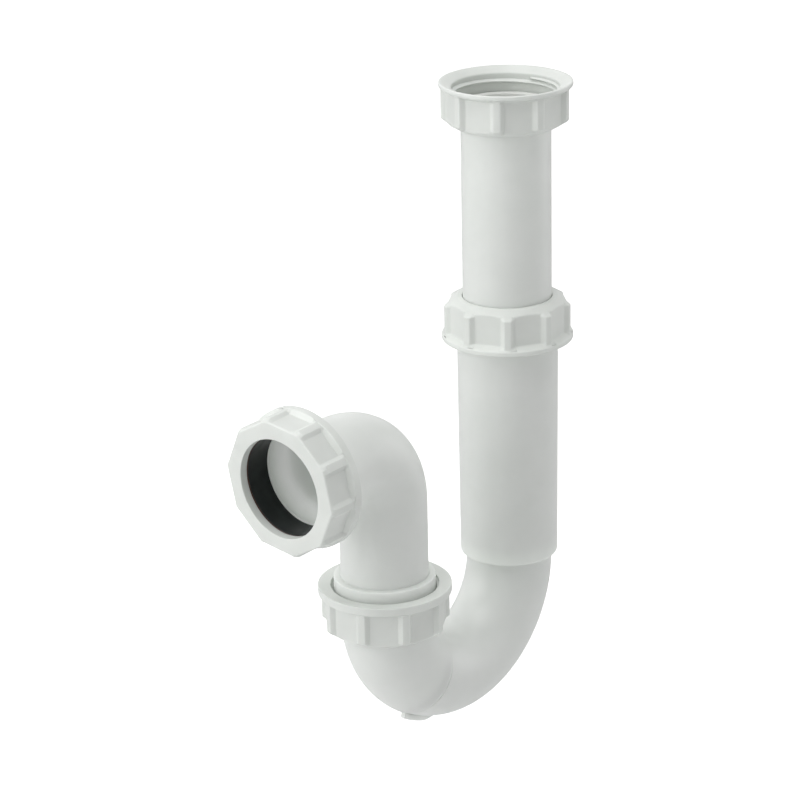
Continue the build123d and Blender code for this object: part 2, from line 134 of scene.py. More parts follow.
def surface_group():
    """Slow clouds and a fine grain on a moulded surface, as a group of nodes."""
    group = bpy.data.node_groups.new("moulded surface", "ShaderNodeTree")
    for label in ("Cloud size", "Grain size"):
        group.interface.new_socket(label, in_out="INPUT", socket_type="NodeSocketFloat")
    for label in ("Clouds", "Roughness", "Height"):
        group.interface.new_socket(label, in_out="OUTPUT", socket_type="NodeSocketFloat")
    nodes, links = group.nodes, group.links
    inputs = nodes.new("NodeGroupInput")
    outputs = nodes.new("NodeGroupOutput")
    place = nodes.new("ShaderNodeTexCoord")
    clouds = nodes.new("ShaderNodeTexNoise")
    clouds.inputs["Detail"].default_value = CLOUD_DETAIL
    grain = nodes.new("ShaderNodeTexNoise")
    grain.inputs["Detail"].default_value = GRAIN_DETAIL
    for noise, size in ((clouds, "Cloud size"), (grain, "Grain size")):
        links.new(place.outputs["Object"], noise.inputs["Vector"])
        links.new(inputs.outputs[size], noise.inputs["Scale"])
    spread = nodes.new("ShaderNodeMapRange")
    spread.inputs["From Min"].default_value, spread.inputs["From Max"].default_value = CLOUD_RANGE
    links.new(clouds.outputs["Fac"], spread.inputs["Value"])
    links.new(spread.outputs["Result"], outputs.inputs["Clouds"])
    gloss = nodes.new("ShaderNodeMapRange")
    gloss.inputs["To Min"].default_value, gloss.inputs["To Max"].default_value = GLOSS_RANGE
    links.new(grain.outputs["Fac"], gloss.inputs["Value"])
    links.new(gloss.outputs["Result"], outputs.inputs["Roughness"])
    height = nodes.new("ShaderNodeMath")
    height.operation = "MULTIPLY_ADD"
    height.inputs[1].default_value = GRAIN_HEIGHT
    links.new(grain.outputs["Fac"], height.inputs[0])
    links.new(clouds.outputs["Fac"], height.inputs[2])
    links.new(height.outputs["Value"], outputs.inputs["Height"])
    return group


moulded_surface = surface_group()


def moulded_material(name, colours, cloud_size, grain_size, bump, bump_depth):
    """A material with the shared surface: clouds between two colours, and a fine relief."""
    material = bpy.data.materials.new(name)
    material.use_nodes = True
    nodes, links = material.node_tree.nodes, material.node_tree.links
    shader = nodes["Principled BSDF"]
    surface = nodes.new("ShaderNodeGroup")
    surface.node_tree = moulded_surface
    surface.inputs["Cloud size"].default_value = cloud_size
    surface.inputs["Grain size"].default_value = grain_size
    blend = nodes.new("ShaderNodeMix")
    blend.data_type = "RGBA"
    for socket, colour in zip("AB", colours):
        blend.inputs[socket].default_value = (*colour, 1)
    links.new(surface.outputs["Clouds"], blend.inputs["Factor"])
    links.new(blend.outputs["Result"], shader.inputs["Base Color"])
    relief = nodes.new("ShaderNodeBump")
    relief.inputs["Strength"].default_value = bump
    relief.inputs["Distance"].default_value = bump_depth
    links.new(surface.outputs["Height"], relief.inputs["Height"])
    links.new(relief.outputs["Normal"], shader.inputs["Normal"])
    return material, shader, surface


def polypropylene(name, pale, deep, cloud_size, bump, milky, milky_depth):
    """White moulded polypropylene, a little cloudy, a little wavy and milky where it is thin."""
    material, shader, surface = moulded_material(
        name, (pale, deep), cloud_size, PLASTIC_GRAIN_SIZE, bump, PLASTIC_WAVE_DEPTH
    )
    shader.inputs["IOR"].default_value = PLASTIC_IOR
    shader.inputs["Specular IOR Level"].default_value = PLASTIC_SHINE
    shader.inputs["Subsurface Weight"].default_value = milky
    shader.inputs["Subsurface Radius"].default_value = (1, 1, 1)
    shader.inputs["Subsurface Scale"].default_value = milky_depth
    material.node_tree.links.new(surface.outputs["Roughness"], shader.inputs["Roughness"])
    return material


tube_plastic = polypropylene(
    "tube_plastic",
    pale=(0.855, 0.89, 0.85),
    deep=(0.812, 0.85, 0.808),
    cloud_size=38,
    bump=0.3,
    milky=0.7,
    milky_depth=6 * MM,
)
tube_outline = [
    (TUBE_RADIUS - TUBE_WALL, tube_high.z),
    (tube_high.x, tube_high.z),
    (tube_high.x, tube_high.z - TUBE_FLANGE_THICKNESS),
    (TUBE_RADIUS, tube_high.z - TUBE_FLANGE_THICKNESS),
    (TUBE_RADIUS, tube_low.z + TUBE_CHAMFER),
    (TUBE_RADIUS - TUBE_CHAMFER, tube_low.z),
    (TUBE_RADIUS - TUBE_WALL, tube_low.z),
]
telescopic_tube = moulding("telescopic_tube", turned(tube_outline), TUBE_EDGE, tube_plastic)
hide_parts("inlet_tube")
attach(telescopic_tube, "inlet")


# Inlet washer: a flat ring of white polythene that lies on the tube's flange. The waste's end is
# pressed on it. It shows only from above, through the open nut.
def finished(node, material):
    """Gives a CAD solid its material."""
    finishes = frame["nodes"][node].data.materials
    finishes.clear()
    finishes.append(material)


white_washer = polypropylene(
    "white_washer",
    pale=(0.84, 0.85, 0.82),
    deep=(0.80, 0.81, 0.78),
    cloud_size=90,
    bump=0.15,
    milky=0.4,
    milky_depth=3 * MM,
)
finished("inlet_washer", white_washer)

# Inlet nut: a hand-tightened nut of white polypropylene, open upwards, with nine ribs under a
# thin flange. Its thread shows inside the mouth. It turns on the tube's flange.
NUT_RIBS = 9
NUT_FLANGE_RADIUS = 29.6 * MM
NUT_RIB_RADIUS = 28.6 * MM
NUT_WALL_RADIUS = 25.8 * MM
NUT_FLOOR = 4.45 * MM
NUT_RING_RADIUS = 22.6 * MM
NUT_CROWN_DROP = 1.9 * MM
NUT_BEVEL_DROP = 1.7 * MM
NUT_RIM_WIDTH = 1.1 * MM
NUT_EDGE = 0.55 * MM
FLANGE_SLOPE = 1.6 * MM
COLUMNS_PER_RIB = 12
THREAD_ROOT_RADIUS = 23.9 * MM
THREAD_CREST_RADIUS = 22.45 * MM
THREAD_PITCH = 2.309 * MM
THREAD_HALF_WIDTH = 0.42 * THREAD_PITCH
THREAD_FADE = 0.12 * THREAD_PITCH
THREAD_STEPS = 96
THREAD_SECTION = ((0, -1), (0.85, -0.28), (1, 0), (0.85, 0.28), (0, 1))
THREAD_EDGE = 0.1 * MM
TUBE_CLEARANCE = 0.15 * MM
INLET_NUT_FLANGE = 2.0 * MM
INLET_NUT_LEAD_IN = 2.4 * MM
INLET_THREAD_START = 3.9 * MM
INLET_THREAD_TURNS = 1.7
INLET_NUT_TURN = math.radians(-11.3)
nut_plastic = polypropylene(
    "nut_plastic",
    pale=(0.765, 0.79, 0.76),
    deep=(0.725, 0.75, 0.72),
    cloud_size=60,
    bump=0.25,
    milky=0.35,
    milky_depth=2.5 * MM,
)


def ribbed(outline, ribs, wall_radius, rib_radius, rib_end, wall_end, face_radius=0):
    """A nut turned from its outline, with ribs pulled out of its wall and flats between them.

    The ribs slope down from rib_end to the wall at wall_end. With a face radius, the end face has
    corners at the ribs too.
    """
    shape = turned(outline, steps=ribs * COLUMNS_PER_RIB)
    step = math.tau / (ribs * COLUMNS_PER_RIB)
    half = COLUMNS_PER_RIB / 2
    end_fall = (wall_end - rib_end) / (rib_radius - wall_radius)
    for vert in shape.verts:
        radius = math.hypot(vert.co.x, vert.co.y)
        at_end = vert.co.z > wall_end - TOLERANCE
        on_face = face_radius and at_end and radius > face_radius - TOLERANCE
        if abs(radius - wall_radius) > TOLERANCE and not on_face:
            continue
        column = round(math.atan2(vert.co.y, vert.co.x) / step) % COLUMNS_PER_RIB
        if on_face:
            new_radius = radius / math.cos((column - half) * step)
        elif min(column, COLUMNS_PER_RIB - column) > 1:
            new_radius = wall_radius / math.cos((column - half) * step)
            if at_end:
                vert.co.z = wall_end - (new_radius - wall_radius) * end_fall
        elif at_end:
            new_radius = wall_radius
        else:
            new_radius = rib_radius
        bmesh.ops.scale(shape, vec=(new_radius / radius, new_radius / radius, 1), verts=[vert])
    return shape


def waste_nut(hole_radius, end_hole_radius, flange, height, mouth_depth):
    """An inlet, slide or swivel nut, with its mouth at height 0."""
    floor = height - NUT_FLOOR
    wall_end = height - NUT_CROWN_DROP
    slope = (NUT_FLANGE_RADIUS - NUT_RIB_RADIUS) / (NUT_FLANGE_RADIUS - NUT_WALL_RADIUS)
    outline = [
        (end_hole_radius, height),
        (hole_radius, floor),
        (THREAD_ROOT_RADIUS, floor),
        (THREAD_ROOT_RADIUS, mouth_depth),
        (NUT_FLANGE_RADIUS - NUT_RIM_WIDTH, 0),
        (NUT_FLANGE_RADIUS, 0),
        (NUT_FLANGE_RADIUS, flange),
        (NUT_RIB_RADIUS, flange + slope * FLANGE_SLOPE),
        (NUT_WALL_RADIUS, flange + FLANGE_SLOPE),
        (NUT_WALL_RADIUS, wall_end - NUT_BEVEL_DROP),
        (NUT_WALL_RADIUS, wall_end),
        (NUT_RING_RADIUS, height),
    ]
    rib_end = wall_end - NUT_BEVEL_DROP
    return ribbed(outline, NUT_RIBS, NUT_WALL_RADIUS, NUT_RIB_RADIUS, rib_end, wall_end)


def helix(crest_radius, low, turns):
    """A ridge of thread wound about Z, that fades into its wall at both ends.

    Its section is given as shares of its depth, outwards, and of its half width, along the nut.
    """
    shape = bmesh.new()
    depth = crest_radius - THREAD_ROOT_RADIUS
    corners = [
        shape.verts.new((THREAD_ROOT_RADIUS + depth * out, 0, low + THREAD_HALF_WIDTH * along))
        for out, along in THREAD_SECTION
    ]
    for corner, following in zip(corners, corners[1:]):
        shape.edges.new((corner, following))
    steps = round(THREAD_STEPS * turns)
    rise = THREAD_PITCH / THREAD_STEPS
    spun(shape, shape.verts[:] + shape.edges[:], math.tau * turns, steps, rise=rise)
    length = THREAD_PITCH * turns
    for vert in shape.verts:
        radius = math.hypot(vert.co.x, vert.co.y)
        wound = (vert.co.z - low) / length
        ends = min(wound, 1 - wound) * length / THREAD_FADE
        if ends < 1:
            new_radius = THREAD_ROOT_RADIUS + (radius - THREAD_ROOT_RADIUS) * max(ends, 0)
            bmesh.ops.scale(shape, vec=(new_radius / radius, new_radius / radius, 1), verts=[vert])
    return shape


nut_low, nut_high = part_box("inlet_nut")
nut_height = nut_high.z - nut_low.z
tube_hole = TUBE_RADIUS + TUBE_CLEARANCE
shape = waste_nut(tube_hole, tube_hole, INLET_NUT_FLANGE, nut_height, INLET_NUT_LEAD_IN)
mouth_up = Matrix.Translation((0, 0, nut_high.z)) @ Matrix.Rotation(math.pi, 4, "X")
inlet_nut_place = mouth_up @ Matrix.Rotation(INLET_NUT_TURN, 4, "Z")
bmesh.ops.transform(shape, matrix=inlet_nut_place, verts=shape.verts)
top_nut = moulding("top_nut", shape, NUT_EDGE, nut_plastic)
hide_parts("inlet_nut")
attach(top_nut, "inlet_nut")
thread = helix(THREAD_CREST_RADIUS, INLET_THREAD_START, INLET_THREAD_TURNS)
bmesh.ops.transform(thread, matrix=inlet_nut_place, verts=thread.verts)
top_nut_thread = moulding("top_nut_thread", thread, THREAD_EDGE, nut_plastic)
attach(top_nut_thread, "inlet_nut")

# Slide nut with its ring and washer: the nut is open downwards on the thread of the leg. It
# squeezes a tapered rubber ring, through a thin slip washer, on the telescopic tube.
SLIDE_NUT_FLANGE = 2.3 * MM
SLIDE_NUT_MOUTH_DEPTH = 1.0 * MM
SLIDE_NUT_TURN = math.radians(19.6)
RUBBER_IOR = 1.52
RUBBER_SHINE = 0.25
RUBBER_PALER = 2.2
RUBBER_CLOUD_SIZE = 160
RUBBER_GRAIN_SIZE = 2500
RUBBER_BUMP = 0.3
RUBBER_GRAIN_DEPTH = 0.05 * MM
RUBBER_GLOSSIER = 0.06
RUBBER_DULLER = 0.1


def rubber(name, colour, roughness):
    """Moulded rubber with a fine matt grain."""
    paler = [RUBBER_PALER * channel for channel in colour]
    material, shader, surface = moulded_material(
        name, (colour, paler), RUBBER_CLOUD_SIZE, RUBBER_GRAIN_SIZE, RUBBER_BUMP, RUBBER_GRAIN_DEPTH
    )
    shader.inputs["IOR"].default_value = RUBBER_IOR
    shader.inputs["Specular IOR Level"].default_value = RUBBER_SHINE
    nodes, links = material.node_tree.nodes, material.node_tree.links
    gloss = nodes.new("ShaderNodeMapRange")
    gloss.inputs["To Min"].default_value = roughness - RUBBER_GLOSSIER
    gloss.inputs["To Max"].default_value = roughness + RUBBER_DULLER
    links.new(surface.outputs["Clouds"], gloss.inputs["Value"])
    links.new(gloss.outputs["Result"], shader.inputs["Roughness"])
    return material


black_rubber = rubber("black_rubber", colour=(0.006, 0.008, 0.008), roughness=0.36)
# The slip ring's dark brown is a painted warm reflection, the warm glint on the lit front edge of
# the black rubber, put into the ring's colour.
slip_ring = rubber("slip_ring", colour=(0.045, 0.02, 0.014), roughness=0.35)
finished("slide_seal", black_rubber)
finished("slide_washer", slip_ring)
nut_low, nut_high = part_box("slide_nut")
nut_height = nut_high.z - nut_low.z
shape = waste_nut(tube_hole, tube_hole, SLIDE_NUT_FLANGE, nut_height, SLIDE_NUT_MOUTH_DEPTH)
slide_nut_place = Matrix.Translation((0, 0, nut_low.z)) @ Matrix.Rotation(SLIDE_NUT_TURN, 4, "Z")
bmesh.ops.transform(shape, matrix=slide_nut_place, verts=shape.verts)
middle_nut = moulding("middle_nut", shape, NUT_EDGE, nut_plastic)
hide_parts("slide_nut")
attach(middle_nut, "slide_nut")

# Inlet leg and first bend: one moulding of white polypropylene. The leg has a thread at its top,
# hidden by the slide nut, and a rounded step down to the bend. A narrow lip stands out from the
# bend's underside, just before the seam.
LEG_MOUTH_RADIUS = 22.5 * MM
LEG_MOUTH_TAPER = 4.2 * MM
LEG_THREAD_RADIUS = 23.84 * MM
LEG_THREAD_LENGTH = 8.5 * MM
LEG_TOP_RADIUS = 22.8 * MM
LEG_FOOT_RADIUS = 22.3 * MM
LEG_BORE_RADIUS = 20.4 * MM
LEG_SHOULDER_DROP = 211.0 * MM
LEG_SHOULDER_ROUND = 1.3 * MM
LEG_SHOULDER_SEGMENTS = 6
LEG_INNER_STEP = 4.0 * MM
LEG_EDGE = 0.3 * MM
BEND_DROP = 212.4 * MM
BEND_TUBE_RADIUS = 19.6 * MM
BEND_BORE_RADIUS = 17.4 * MM
BEND_STEPS = 160
INLET_BEND_ANGLE = math.radians(122.6)
SEAM_SPIGOT_RADIUS = 18.7 * MM
SEAM_LAP_ANGLE = math.radians(6)
SEAM_LAP_STEPS = 3
LIP_START = math.radians(96)
LIP_TOP = math.radians(109)
LIP_END = math.radians(121.2)
LIP_STEPS = 40
LIP_ROOT_RADIUS = 18.4 * MM
LIP_RADIUS = 22.45 * MM
LIP_SINK = 3.2 * MM
LIP_WIDTH = 2.6 * MM
HALF_UNIT = 0.5
CIRCLE_SEGMENTS = 120
joints = {joint["name"]: joint for joint in frame["joints"]}
outlet_leg_x = joints["elbow_swivel"]["pos_m"][0]
bend_radius = -outlet_leg_x / 2
bend_centre = Vector((-bend_radius, 0, -BEND_DROP))
Y_AXIS = Vector((0, 1, 0))
DOWN = -UP


def circle(shape, across, radius):
    """Draws a ring across a plane's normal and returns its edges."""
    before = len(shape.edges)
    bmesh.ops.create_circle(
        shape, cap_ends=False, segments=CIRCLE_SEGMENTS, radius=radius, matrix=across
    )
    shape.edges.ensure_lookup_table()
    return shape.edges[before:]


def edges_of(parts):
    """The edges among what an operator made."""
    return [part for part in parts if isinstance(part, bmesh.types.BMEdge)]


def drawn(shape, ring, way, stations):
    """Draws a tube straight on from a ring, through (radius, distance) stations along its way."""
    radius, distance = stations[0]
    for next_radius, next_distance in stations[1:]:
        made = bmesh.ops.extrude_edge_only(shape, edges=ring)["geom"]
        verts = [part for part in made if isinstance(part, bmesh.types.BMVert)]
        centre = sum((vert.co for vert in verts), Vector()) / len(verts)
        widen = next_radius / radius
        bmesh.ops.scale(
            shape, vec=(widen, widen, widen), space=Matrix.Translation(-centre), verts=verts
        )
        bmesh.ops.translate(shape, vec=way * (next_distance - distance), verts=verts)
        ends = set(verts)
        ring = [edge for edge in edges_of(made) if ends.issuperset(edge.verts)]
        radius, distance = next_radius, next_distance
    return ring


def bent(shape, ring, centre, axis, angle, steps):
    """Draws a tube on from a ring round a bend."""
    verts = list(dict.fromkeys(vert for edge in ring for vert in edge.verts))
    return edges_of(spun(shape, verts + list(ring), angle, steps, centre=centre, axis=axis))


def eased(share):
    """Goes from 0 to 1 with a soft start and a soft end."""
    return share * share * (3 - 2 * share)


leg_top = -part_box("inlet_leg")[1].z
shape = bmesh.new()
first = circle(shape, Matrix.Translation((0, 0, -leg_top)), LEG_THREAD_RADIUS)
ring = drawn(
    shape,
    first,
    DOWN,
    [
        (LEG_THREAD_RADIUS, leg_top),
        (LEG_THREAD_RADIUS, leg_top + LEG_THREAD_LENGTH),
        (LEG_TOP_RADIUS, leg_top + LEG_THREAD_LENGTH),
        (LEG_FOOT_RADIUS, LEG_SHOULDER_DROP),
        (BEND_TUBE_RADIUS, LEG_SHOULDER_DROP),
        (BEND_TUBE_RADIUS, BEND_DROP),
    ],
)
ring = bent(shape, ring, bend_centre, Y_AXIS, INLET_BEND_ANGLE, BEND_STEPS)
ring = drawn(shape, ring, DOWN, [(BEND_TUBE_RADIUS, 0), (SEAM_SPIGOT_RADIUS, 0)])
ring = bent(shape, ring, bend_centre, Y_AXIS, SEAM_LAP_ANGLE, SEAM_LAP_STEPS)
ring = drawn(shape, ring, DOWN, [(SEAM_SPIGOT_RADIUS, 0), (BEND_BORE_RADIUS, 0)])
ring = bent(shape, ring, bend_centre, Y_AXIS, -INLET_BEND_ANGLE - SEAM_LAP_ANGLE, BEND_STEPS)
inner_step = LEG_SHOULDER_DROP - LEG_INNER_STEP
ring = drawn(
    shape,
    ring,
    DOWN,
    [
        (BEND_BORE_RADIUS, BEND_DROP),
        (BEND_BORE_RADIUS, inner_step),
        (LEG_BORE_RADIUS, inner_step - LEG_BORE_RADIUS + BEND_BORE_RADIUS),
        (LEG_BORE_RADIUS, leg_top + LEG_MOUTH_TAPER),
        (LEG_MOUTH_RADIUS, leg_top),
    ],
)
bmesh.ops.bridge_loops(shape, edges=list(first) + list(ring))
shoulder = [
    edge
    for edge in shape.edges
    if all(
        abs(vert.co.z + LEG_SHOULDER_DROP) < TOLERANCE
        and abs(vert.co.xy.length - LEG_FOOT_RADIUS) < TOLERANCE
        for vert in edge.verts
    )
]
bmesh.ops.bevel(
    shape,
    geom=shoulder,
    offset=LEG_SHOULDER_ROUND,
    segments=LEG_SHOULDER_SEGMENTS,
    profile=0.5,
    affect="EDGES",
    material=-1,
)
outwards = Vector((math.cos(LIP_START), 0, -math.sin(LIP_START)))
along = Vector((-math.sin(LIP_START), 0, -math.cos(LIP_START)))
lip_middle = bend_radius + (LIP_RADIUS + LIP_ROOT_RADIUS) / 2
lip_place = Matrix((outwards, Y_AXIS, along)).transposed().to_4x4()
lip_place.translation = bend_centre + outwards * lip_middle
lip_section = lip_place @ Matrix.Diagonal((LIP_RADIUS - LIP_ROOT_RADIUS, LIP_WIDTH, 1, 1))
lip = bmesh.new()
bmesh.ops.create_grid(lip, x_segments=1, y_segments=1, size=HALF_UNIT, matrix=lip_section)
ring = bent(lip, lip.edges[:], bend_centre, Y_AXIS, LIP_END - LIP_START, LIP_STEPS)
bmesh.ops.contextual_create(lip, geom=ring)
for vert in lip.verts:
    arm = vert.co - bend_centre
    arm.y = 0
    climb = min((math.atan2(-arm.z, arm.x) - LIP_START) / (LIP_TOP - LIP_START), 1)
    if arm.length > lip_middle:
        vert.co -= arm.normalized() * LIP_SINK * (1 - eased(climb))
lip_mesh = bpy.data.meshes.new("lip")
lip.to_mesh(lip_mesh)
lip.free()
shape.from_mesh(lip_mesh)
bpy.data.meshes.remove(lip_mesh)
trap_leg = moulding("trap_leg", shape, LEG_EDGE, tube_plastic)
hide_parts("inlet_leg")
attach(trap_leg, "trap")

# Second bend: a short moulding of the same plastic, welded over the first bend's end and a little
# thicker than it, with the flange that the swivel nut pulls on. A fine groove shows at the seam.
OUTLET_BEND_TUBE_RADIUS = 20.1 * MM
OUTLET_BEND_EDGE = 0.45 * MM
OUTLET_BEND_STEPS = 26
OUTLET_BORE_STEPS = 25
BEND_FLANGE_RADIUS = 22.3 * MM
BEND_FLANGE_ANGLE = math.radians(4)
BEND_FLANGE_STEPS = 2
SEAM_GROOVE_ANGLE = math.radians(1.05)
SEAM_GAP = 0.05 * MM
second_start = INLET_BEND_ANGLE + SEAM_GROOVE_ANGLE
second_angle = math.pi - second_start
outwards = Vector((math.cos(second_start), 0, -math.sin(second_start)))
along = Vector((-math.sin(second_start), 0, -math.cos(second_start)))
across_seam = Matrix((outwards, along.cross(outwards), along)).transposed().to_4x4()
across_seam.translation = bend_centre + outwards * bend_radius
outer_angle = second_angle - BEND_FLANGE_ANGLE
bore_angle = second_angle - SEAM_LAP_ANGLE
shape = bmesh.new()
first = circle(shape, across_seam, OUTLET_BEND_TUBE_RADIUS)
ring = bent(shape, first, bend_centre, Y_AXIS, outer_angle, OUTLET_BEND_STEPS)
ring = drawn(shape, ring, UP, [(OUTLET_BEND_TUBE_RADIUS, 0), (BEND_FLANGE_RADIUS, 0)])
ring = bent(shape, ring, bend_centre, Y_AXIS, BEND_FLANGE_ANGLE, BEND_FLANGE_STEPS)
ring = drawn(shape, ring, UP, [(BEND_FLANGE_RADIUS, 0), (BEND_BORE_RADIUS, 0)])
ring = bent(shape, ring, bend_centre, Y_AXIS, -bore_angle, OUTLET_BORE_STEPS)
ring = drawn(shape, ring, UP, [(BEND_BORE_RADIUS, 0), (SEAM_SPIGOT_RADIUS + SEAM_GAP, 0)])
ring = bent(shape, ring, bend_centre, Y_AXIS, -SEAM_LAP_ANGLE, SEAM_LAP_STEPS)
bmesh.ops.bridge_loops(shape, edges=list(first) + list(ring))
second_bend = moulding("second_bend", shape, OUTLET_BEND_EDGE, tube_plastic)
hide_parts("outlet_bend")
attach(second_bend, "trap")

# Swivel nut and its washer: a white polypropylene nut, open upwards, that hangs under the bend's
# flange and has a thicker flange of its own. The rubber washer lies inside it, out of sight. The
# nut's first turn of thread shows beside the elbow's collar.
SWIVEL_NUT_FLANGE = 3.7 * MM
SWIVEL_NUT_MOUTH_DEPTH = 0.25 * MM
SWIVEL_NUT_FLOOR_DROP = 3.15 * MM
SWIVEL_NUT_END_DROP = 7.6 * MM
SWIVEL_NUT_CLEARANCE = 0.6 * MM
SWIVEL_CREST_RADIUS = 22.9 * MM
SWIVEL_THREAD_START = 1.6 * MM
SWIVEL_THREAD_TURNS = 1.3
finished("swivel_washer", black_rubber)


def hole_round_bend(drop):
    """The radius of the hole that clears the leaning bend, this far below the bend's centre."""
    inside = bend_radius - OUTLET_BEND_TUBE_RADIUS
    return bend_radius - math.sqrt(inside**2 - drop**2) + SWIVEL_NUT_CLEARANCE


nut_low, nut_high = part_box("swivel_nut")
shape = waste_nut(
    hole_round_bend(SWIVEL_NUT_FLOOR_DROP),
    hole_round_bend(SWIVEL_NUT_END_DROP),
    SWIVEL_NUT_FLANGE,
    nut_high.z - nut_low.z,
    SWIVEL_NUT_MOUTH_DEPTH,
)
mouth_up = Matrix.Translation((outlet_leg_x, 0, nut_high.z)) @ Matrix.Rotation(math.pi, 4, "X")
bmesh.ops.transform(shape, matrix=mouth_up, verts=shape.verts)
bottom_nut = moulding("bottom_nut", shape, NUT_EDGE, nut_plastic)
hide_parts("swivel_nut")
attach(bottom_nut, "swivel_nut")
thread = helix(SWIVEL_CREST_RADIUS, SWIVEL_THREAD_START, SWIVEL_THREAD_TURNS)
bmesh.ops.transform(thread, matrix=mouth_up, verts=thread.verts)
bottom_nut_thread = moulding("bottom_nut_thread", thread, THREAD_EDGE, nut_plastic)
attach(bottom_nut_thread, "swivel_nut")

# Swivel elbow: one moulding of white polypropylene, with a threaded spigot and a plain collar
# below, and at its outlet, which falls a little below level, a threaded socket for the pipe. A
# rounded funnel leads from the pipe's stop down to the bore.
ELBOW_TUBE_RADIUS = 19.45 * MM
ELBOW_BORE_RADIUS = 17.45 * MM
ELBOW_BEND_RADIUS = 26.5 * MM
ELBOW_DROP = 131.5 * MM
ELBOW_STEPS = 46
ELBOW_EDGE = 0.4 * MM
SPIGOT_RADIUS = 23.84 * MM
SPIGOT_BORE_RADIUS = 20.4 * MM
SPIGOT_THREAD_LENGTH = 9.0 * MM
COLLAR_RADIUS = 22.5 * MM
COLLAR_HEIGHT = 16.2 * MM
COLLAR_CONE = 3.0 * MM
SOCKET_CONE = 40.45 * MM
SOCKET_BACK = 44.45 * MM
SOCKET_BACK_RADIUS = 24.6 * MM
SOCKET_THREAD = 48.75 * MM
SOCKET_THREAD_RADIUS = 26.14 * MM
SOCKET_MOUTH = 56.15 * MM
SOCKET_MOUTH_RADIUS = 24.6 * MM
SOCKET_SEAT = 48.15 * MM
SOCKET_SEAT_RADIUS = 22.9 * MM
PIPE_STOP = 46.0 * MM
PIPE_SOCKET_RADIUS = 21.75 * MM
# Radius and distance along the outlet of each point down the rounded funnel.
FUNNEL = [
    (21.5 * MM, 44.8 * MM),
    (21.0 * MM, 43.6 * MM),
    (20.2 * MM, 42.2 * MM),
    (19.2 * MM, 40.6 * MM),
    (18.4 * MM, 39.2 * MM),
    (17.8 * MM, 37.6 * MM),
    (17.5 * MM, 35.6 * MM),
    (ELBOW_BORE_RADIUS, 33.6 * MM),
]
outlet_way = Vector(joints["outlet_nut_turn"]["axis"]).normalized()
elbow_turn = math.pi / 2 + math.asin(-outlet_way.z)
elbow_tangent = ELBOW_BEND_RADIUS * math.tan(elbow_turn / 2)
elbow_start = -ELBOW_DROP - elbow_tangent
elbow_meeting = Vector((outlet_leg_x, 0, -ELBOW_DROP))
elbow_centre = Vector((outlet_leg_x - ELBOW_BEND_RADIUS, 0, elbow_start))
spigot_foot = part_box("swivel_washer")[1].z
collar_top = spigot_foot + COLLAR_HEIGHT
shape = bmesh.new()
first = circle(shape, Matrix.Translation((outlet_leg_x, 0, spigot_foot)), SPIGOT_RADIUS)
ring = drawn(
    shape,
    first,
    UP,
    [
        (SPIGOT_RADIUS, spigot_foot),
        (SPIGOT_RADIUS, spigot_foot + SPIGOT_THREAD_LENGTH),
        (COLLAR_RADIUS, spigot_foot + SPIGOT_THREAD_LENGTH),
        (COLLAR_RADIUS, collar_top),
        (ELBOW_TUBE_RADIUS, collar_top),
        (ELBOW_TUBE_RADIUS, elbow_start),
    ],
)
ring = bent(shape, ring, elbow_centre, -Y_AXIS, elbow_turn, ELBOW_STEPS)
ring = drawn(
    shape,
    ring,
    outlet_way,
    [
        (ELBOW_TUBE_RADIUS, elbow_tangent),
        (ELBOW_TUBE_RADIUS, SOCKET_CONE),
        (SOCKET_BACK_RADIUS, SOCKET_BACK),
        (SOCKET_BACK_RADIUS, SOCKET_THREAD),
        (SOCKET_THREAD_RADIUS, SOCKET_THREAD),
        (SOCKET_THREAD_RADIUS, SOCKET_MOUTH),
        (SOCKET_MOUTH_RADIUS, SOCKET_MOUTH),
        (SOCKET_SEAT_RADIUS, SOCKET_SEAT),
        (PIPE_SOCKET_RADIUS, SOCKET_SEAT),
        (PIPE_SOCKET_RADIUS, PIPE_STOP),
        *FUNNEL,
        (ELBOW_BORE_RADIUS, elbow_tangent),
    ],
)
ring = bent(shape, ring, elbow_centre, -Y_AXIS, -elbow_turn, ELBOW_STEPS)
ring = drawn(
    shape,
    ring,
    UP,
    [
        (ELBOW_BORE_RADIUS, elbow_start),
        (ELBOW_BORE_RADIUS, collar_top),
        (SPIGOT_BORE_RADIUS, collar_top - COLLAR_CONE),
        (SPIGOT_BORE_RADIUS, spigot_foot),
    ],
)
bmesh.ops.bridge_loops(shape, edges=list(first) + list(ring))
swivel_elbow = moulding("swivel_elbow", shape, ELBOW_EDGE, tube_plastic)
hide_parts("outlet_elbow")
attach(swivel_elbow, "elbow")

# Outlet seal and slip ring: a black rubber ring that fills the socket round the pipe, and a thin
# slip ring that the nut presses on. The slip ring is a real part, but its dark brown colour is a
# painted warm reflection, the warm glint of the rubber's lit front edge; the ring lies a little off
# centre so that this painted reflection shows at the lower left.
SEAL_BORE_RADIUS = 21.9 * MM
SEAL_GAP = 0.15 * MM
SEAL_FOOT_GAP = 0.3 * MM
SEAL_EDGE = 0.35 * MM
WASHER_FACE = 61.0 * MM
WASHER_THICKNESS = 0.8 * MM
WASHER_BORE_RADIUS = 22.05 * MM
WASHER_RADIUS = 25.3 * MM
